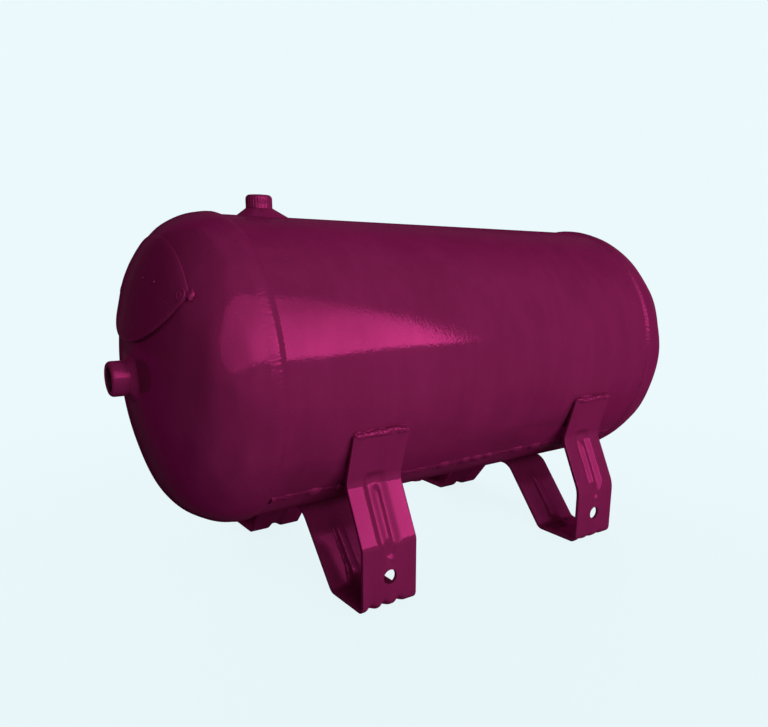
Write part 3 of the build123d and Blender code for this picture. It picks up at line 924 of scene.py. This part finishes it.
def makeFloor():
    plan = stagePlan
    bm = bmesh.new()
    bmesh.ops.create_grid(bm, x_segments=1, y_segments=1, size=plan["floorHalf"])
    finish = addStage("studioFloor", bm)[1]
    where = finish.place()
    away = finish.node("ShaderNodeVectorMath", {"operation": "LENGTH"}, {0: where}, output="Value")
    sockets = {0: where, 1: plan["frontWay"]}
    ahead = finish.node("ShaderNodeVectorMath", {"operation": "DOT_PRODUCT"}, sockets, output="Value")
    camera = rayIs(finish, "Camera")
    near = plan["glowNear"] + (1 - plan["glowNear"]) * finish.step(away, *plan["glowFrom"])
    mirrored = finish.step(away, *plan["mirrorFrom"]).atLeast(finish.step(ahead, *plan["frontFrom"]))
    share = camera * near + (seenDirectly(finish) - camera) * mirrored
    tone = finish.blend(rayIs(finish, "Diffuse"), (*plan["floor"], 1), (*plan["bounce"], 1))
    paper = finish.node("ShaderNodeBsdfDiffuse", None, {"Color": tone})
    glow = finish.node("ShaderNodeEmission", None, {"Color": (*plan["pale"], 1), "Strength": 1.0})
    finish.close(finish.node("ShaderNodeMixShader", None, {0: share, 1: paper, 2: glow}))


def makeWorld():
    scene.world = bpy.data.worlds.new("studio")
    finish = Finish(scene.world)
    pale = finish.node("ShaderNodeBackground", None, {"Color": (*stagePlan["pale"], 1), "Strength": 1.0})
    dim = finish.node("ShaderNodeBackground", None, {"Color": (*stagePlan["dim"], 1), "Strength": 1.0})
    seen = finish.node("ShaderNodeMixShader", None, {0: seenDirectly(finish), 1: dim, 2: pale})
    finish.close(seen, "ShaderNodeOutputWorld")


makeFloor()
makeWorld()


# lamps give soft light without a mirror image, and cards are panels that only mirrors see

lampPlans = {
    "frontFill": dict(place=(0.12, -1.8, 0.46), aim=(0, 0, 0.16), size=(2.2, 1.5), power=45.0),
    "topFill": dict(place=(0.3, -0.3, 2.2), aim=(0, 0, 0), size=(2.4, 2.0), power=5.0),
    "backFill": dict(place=(0.1, 1.9, 0.6), aim=(0, 0, 0.16), size=(1.6, 1.2), power=36.0),
    "endFill": dict(place=(1.6, 1.35, 0.5), aim=(0.2, 0, 0.16), size=(1.2, 1.0), power=30.0),
}
# levels are places along the axis with a brightness, and glow is extra light near the lower edge
cardPlans = {
    "softbox": dict(
        corners=[(-2.1, -1.5, 0.44), (0.6, -1.5, 0.50), (0.9, -1.5, 0.595), (1.185, -1.5, 0.58),
                 (1.185, -1.5, 2.55), (-2.1, -1.5, 2.55)],
        axis="X", levels=[(-2.1, 0.16), (-1.2, 0.235), (1.185, 0.24)], strength=13.0, glowFrom=(0.6, 1.9),
        glow=[(-2.1, 0.0), (-1.0, 0.0), (-0.6, 0.14), (-0.2, 0.21), (0.1, 0.22), (0.55, 0.37), (0.8, 0.44),
              (0.92, 0.5), (1.02, 0.62), (1.185, 0.68)]),
    "leftFlag": dict(
        corners=[(-2.2, 12.0, 0.0), (-2.2, -1.6, 0.0), (-2.2, -1.6, 15.0), (-2.2, 12.0, 15.0)],
        axis="Y", levels=[(-1.6, 0.8), (-1.0, 0.62), (-0.4, 0.46), (0.3, 0.4), (12.0, 0.38)], strength=1.0),
    "backSoftbox": dict(
        corners=[(0.22, 2.0, 0.75), (1.8, 2.0, 0.75), (1.8, 2.0, 1.25), (0.22, 2.0, 1.25)],
        axis="X", levels=[(0.22, 0.06), (0.6, 0.3), (1.0, 0.42), (1.8, 0.45)], strength=9.0),
}


def addLamp(name, place, aim, size, power):
    data = bpy.data.lights.new(name, "AREA")
    data.shape = "RECTANGLE"
    data.size, data.size_y = size
    data.energy = power
    lamp = bpy.data.objects.new(name, data)
    scene.collection.objects.link(lamp)
    lamp.location = place
    lamp.rotation_mode = "QUATERNION"
    lamp.rotation_quaternion = (Vector(aim) - Vector(place)).to_track_quat("-Z", "Y")
    lamp.visible_camera = lamp.visible_glossy = False


def shadeAlong(finish, where, axis, levels):
    start, span = levels[0][0], levels[-1][0] - levels[0][0]
    along = finish.node("ShaderNodeSeparateXYZ", None, {0: where}, output=axis)
    ramp = [((spot - start) / span, (level, level, level)) for spot, level in levels]
    return finish.node("ShaderNodeValToRGB", {"stops": ramp}, {0: (along - start) / span})


def addCard(name, corners, axis, levels, strength, glow=None, glowFrom=None):
    bm = bmesh.new()
    bm.faces.new([bm.verts.new(corner) for corner in corners])
    card, finish = addStage(name, bm)
    card.visible_camera = card.visible_diffuse = card.visible_shadow = False
    where = finish.place()
    colour = shadeAlong(finish, where, axis, levels)
    if glow:
        height = finish.node("ShaderNodeSeparateXYZ", None, {0: where}, output="Z")
        low, high = glowFrom
        fall = {"Value": height, "From Min": low, "From Max": high}
        rise = 1 - finish.node("ShaderNodeMapRange", {"clamp": True}, fall)
        colour = finish.blend(rise, colour, shadeAlong(finish, where, axis, glow), "ADD")
    finish.close(finish.node("ShaderNodeEmission", None, {"Color": colour, "Strength": strength}))


for name, plan in lampPlans.items():
    addLamp(name, **plan)
for name, plan in cardPlans.items():
    addCard(name, **plan)


# camera, fitted to the tank's outline in the photograph

cameraPlan = dict(place=(-0.3978, -0.5272, 0.2611), right=(0.8012, -0.5983, 0.0105),
                  up=(0.1299, 0.1911, 0.9729), sensor=36.0, lens=31.91, shift=(-0.0389, 0.0831),
                  clip=(0.01, 100))


def makeCamera():
    plan = cameraPlan
    data = bpy.data.cameras.new("photoCamera")
    data.sensor_width = plan["sensor"]
    data.lens = plan["lens"]
    data.shift_x, data.shift_y = plan["shift"]
    data.clip_start, data.clip_end = plan["clip"]
    camera = bpy.data.objects.new("photoCamera", data)
    scene.collection.objects.link(camera)
    right, up = Vector(plan["right"]).normalized(), Vector(plan["up"]).normalized()
    turn = Matrix((right, up, right.cross(up))).transposed().to_4x4()
    camera.matrix_world = Matrix.Translation(plan["place"]) @ turn
    scene.camera = camera


makeCamera()
scene.view_settings.view_transform = "Standard"
print("stage, light and camera made")
